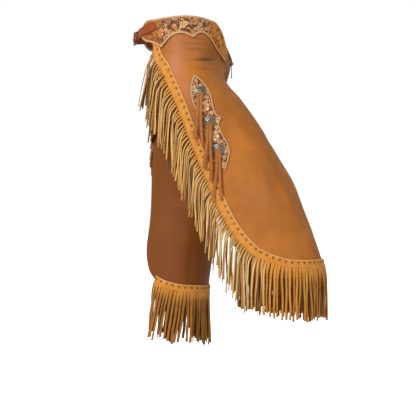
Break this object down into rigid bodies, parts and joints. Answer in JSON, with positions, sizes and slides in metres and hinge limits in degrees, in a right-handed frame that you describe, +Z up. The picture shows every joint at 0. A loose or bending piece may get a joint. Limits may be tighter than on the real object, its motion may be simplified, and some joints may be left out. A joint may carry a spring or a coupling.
{
  "type": "fringed leather chaps",
  "caption": "Short fringed leather chaps with a tooled scalloped yoke, open-backed leg panels, concho patches and long suede fringe, posed mid-stride.",
  "frame": {"origin": "middle of the wearer's waist, level with the belt line of the yoke, where the chaps hang from the hips", "axes": "+X forward, the way the wearer walks; +Y to the wearer's left; +Z up"},
  "size_m": [0.5472, 0.4949, 0.936],
  "materials": {
    "panel_leather": "smooth oiled tan leather, satin",
    "fringe_suede": "golden split suede, napped and dull",
    "tooled_leather": "carved leather with dark antiqued ground and pale edge",
    "strap_leather": "plain brown strap leather, satin",
    "thong_leather": "soft thong leather, dull",
    "concho_silver": "engraved silver plate, darkened in the recesses",
    "buckle_steel": "worn steel"
  },
  "bodies": {
    "root": {"leg_panel_right": "panel_leather", "fringe_right": "fringe_suede", "yoke_right": "tooled_leather", "side_patch_right": "tooled_leather", "concho_right_1": "concho_silver", "tie_right_1": "thong_leather", "leg_strap_right_1": "strap_leather", "concho_right_2": "concho_silver", "tie_right_2": "thong_leather", "leg_strap_right_2": "strap_leather", "concho_right_3": "concho_silver", "tie_right_3": "thong_leather", "leg_strap_right_3": "strap_leather", "back_strap_right": "strap_leather", "leg_panel_left": "panel_leather", "fringe_left": "fringe_suede", "yoke_left": "tooled_leather", "side_patch_left": "tooled_leather", "concho_left_1": "concho_silver", "tie_left_1": "thong_leather", "leg_strap_left_1": "strap_leather", "concho_left_2": "concho_silver", "tie_left_2": "thong_leather", "leg_strap_left_2": "strap_leather", "concho_left_3": "concho_silver", "tie_left_3": "thong_leather", "leg_strap_left_3": "strap_leather", "back_strap_left": "strap_leather", "buckle_frame": "buckle_steel", "buckle_prong": "buckle_steel", "strap_keeper": "strap_leather", "front_lace": "thong_leather"}
  },
  "joints": []
}
